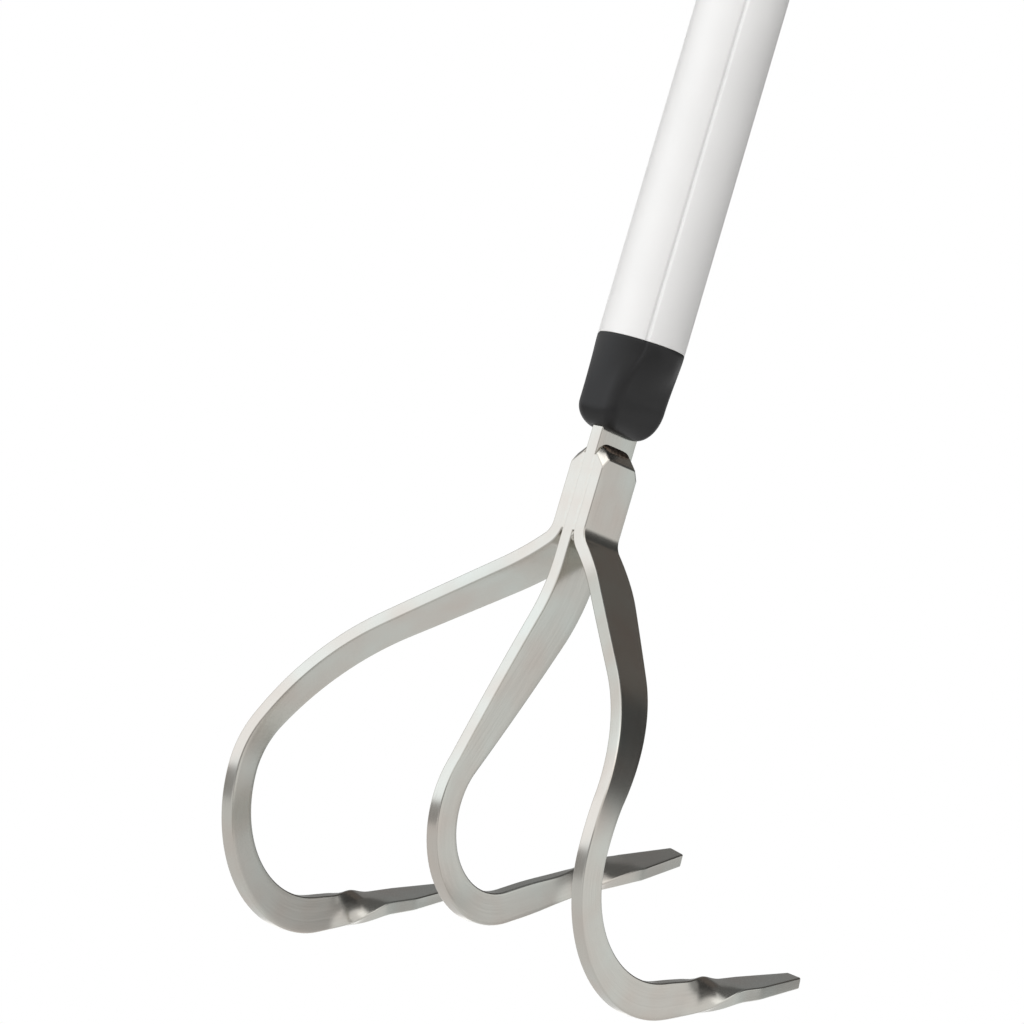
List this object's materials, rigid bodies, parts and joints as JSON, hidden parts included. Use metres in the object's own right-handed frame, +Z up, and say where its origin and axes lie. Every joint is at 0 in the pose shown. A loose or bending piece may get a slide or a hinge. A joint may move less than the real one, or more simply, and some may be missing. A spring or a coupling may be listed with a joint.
{
  "type": "long handled cultivator",
  "caption": "Long handled garden cultivator: hooked steel tines with flat twisted tips welded into a neck, on a tang in a black ferrule at the foot of a white lobed tube, with a hanging hole.",
  "frame": {"origin": "centre of the hanging hole in the end cap", "axes": "+Z up along the handle, +Y the way the tips point, +X towards the right tine"},
  "size_m": [0.1782, 0.1565, 1.5478],
  "materials": {
    "handle_coating": "white powder coat on aluminium extrusion, satin",
    "moulded_nylon": "black glass-filled nylon, fine moulded texture",
    "polished_steel": "stainless steel bar, ground and polished",
    "weld_metal": "stainless weld metal, ground flush or left as a bead",
    "spring_steel": "hardened spring steel, plain",
    "zinc_plate": "bright zinc plated screw"
  },
  "bodies": {
    "root": {"handle_tube": "handle_coating", "end_cap": "moulded_nylon", "ferrule": "moulded_nylon", "ferrule_screw": "zinc_plate", "tang_pin": "spring_steel", "middle_tine": "polished_steel", "left_tine": "polished_steel", "right_tine": "polished_steel", "left_rear_seam_weld": "weld_metal", "right_rear_seam_weld": "weld_metal", "left_front_seam_weld": "weld_metal", "right_front_seam_weld": "weld_metal", "left_top_weld": "weld_metal", "right_top_weld": "weld_metal", "left_crotch_weld": "weld_metal", "right_crotch_weld": "weld_metal"}
  },
  "joints": []
}
